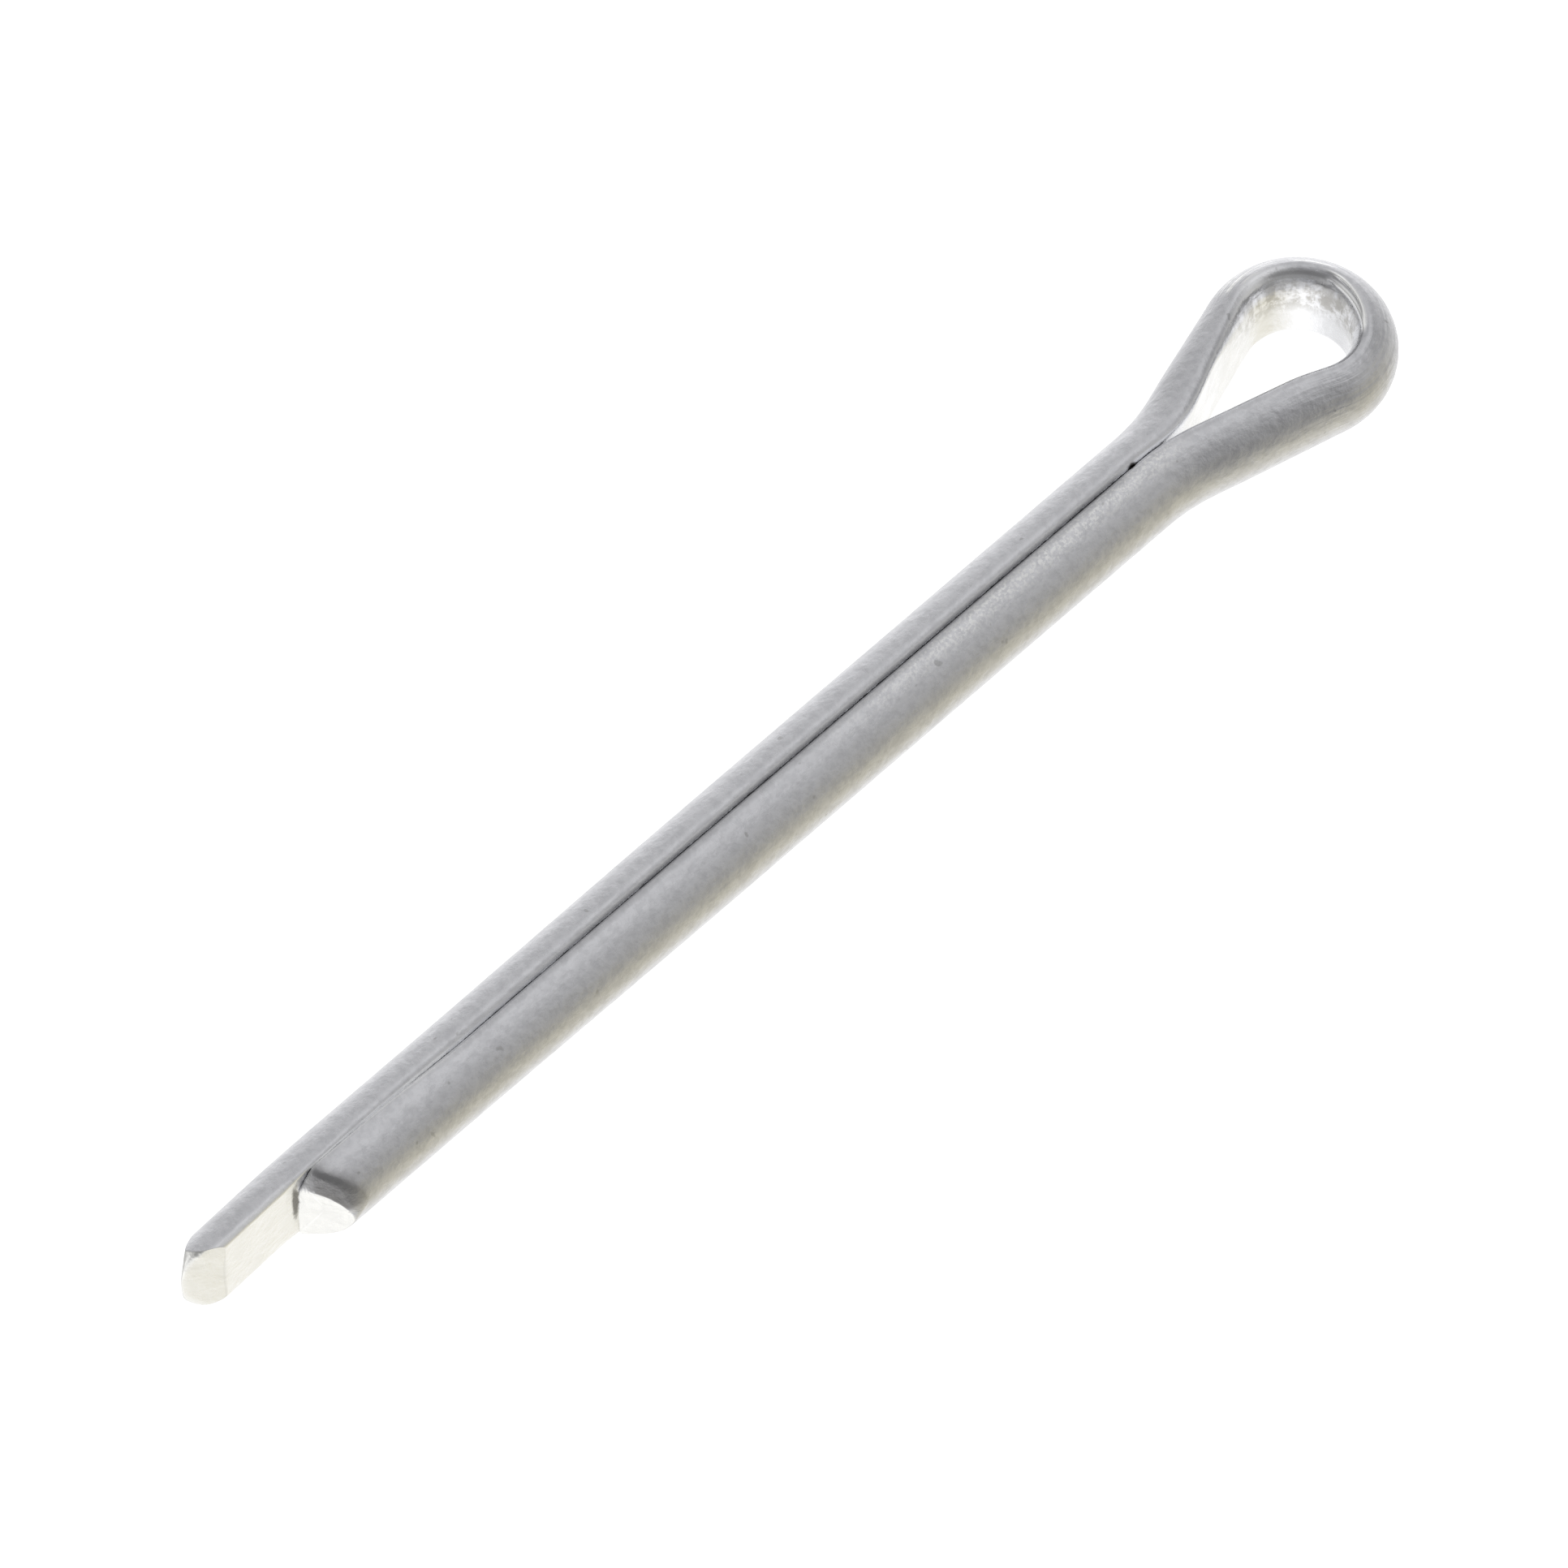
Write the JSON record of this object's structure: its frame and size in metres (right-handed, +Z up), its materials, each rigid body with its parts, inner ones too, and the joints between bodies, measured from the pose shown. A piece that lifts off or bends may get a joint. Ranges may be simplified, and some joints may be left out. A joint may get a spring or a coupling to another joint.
{
  "type": "cotter pin",
  "caption": "Split pin folded from half-round wire, with a teardrop eye and legs of unequal length; it goes through a drilled shaft or bolt, and its legs spread to lock it.",
  "frame": {"origin": "on the shank's axis, right under the eye", "axes": "+X along the shank, from the legs' tips to the eye; +Y from the short leg to the long leg; +Z up, square to the eye's plane"},
  "size_m": [0.0567, 0.007, 0.0034],
  "materials": {
    "zinc_plated_steel": "bright zinc plating, satin and slightly mottled, neutral grey"
  },
  "bodies": {
    "root": {"cotter_pin": "zinc_plated_steel"}
  },
  "joints": []
}
